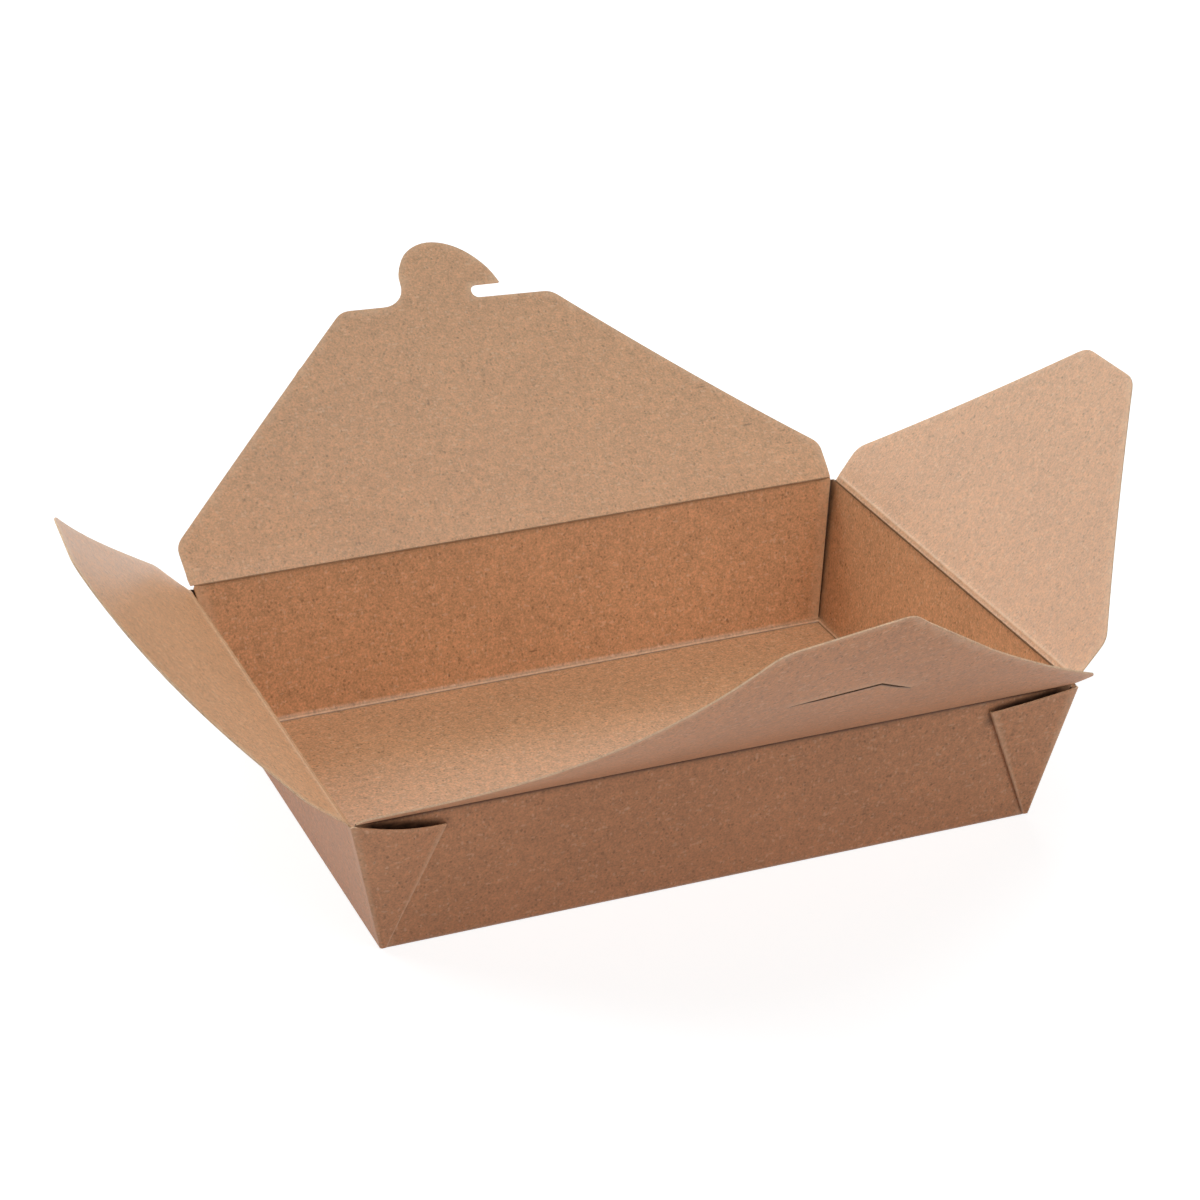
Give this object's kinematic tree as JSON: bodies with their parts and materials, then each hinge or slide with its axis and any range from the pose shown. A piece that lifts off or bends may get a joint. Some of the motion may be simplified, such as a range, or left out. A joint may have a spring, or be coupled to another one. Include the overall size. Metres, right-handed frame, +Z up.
{
  "type": "takeaway box",
  "caption": "Low folded board food box with flared walls, folded corner webs and a hinged flap on each side, one with a hooked tab.",
  "frame": {"origin": "middle of the underside of the floor", "axes": "+X along the long side, +Y towards the flap with the tab, +Z up"},
  "size_m": [0.3254, 0.3275, 0.115],
  "materials": {
    "board_tray": "matte, fibrous",
    "board_flap": "matte, fibrous"
  },
  "bodies": {
    "tray": {"tray": "board_tray"},
    "back_flap": {"back_flap": "board_flap"},
    "front_flap": {"front_flap": "board_flap"},
    "left_flap": {"left_flap": "board_flap"},
    "right_flap": {"right_flap": "board_flap"}
  },
  "joints": [
    {"name": "back_crease", "type": "hinge", "parent": "tray", "child": "back_flap", "pos_m": [0, 0.08113, 0.0461], "axis": [-1, 0, 0], "range_deg": [-141, 59]},
    {"name": "front_crease", "type": "hinge", "parent": "tray", "child": "front_flap", "pos_m": [0, -0.081, 0.0455], "axis": [1, 0, 0], "range_deg": [-141, 59]},
    {"name": "left_crease", "type": "hinge", "parent": "tray", "child": "left_flap", "pos_m": [-0.10787, 0, 0.0449], "axis": [0, -1, 0], "range_deg": [-135, 65]},
    {"name": "right_crease", "type": "hinge", "parent": "tray", "child": "right_flap", "pos_m": [0.10787, 0, 0.0449], "axis": [0, 1, 0], "range_deg": [-131, 69]}
  ]
}
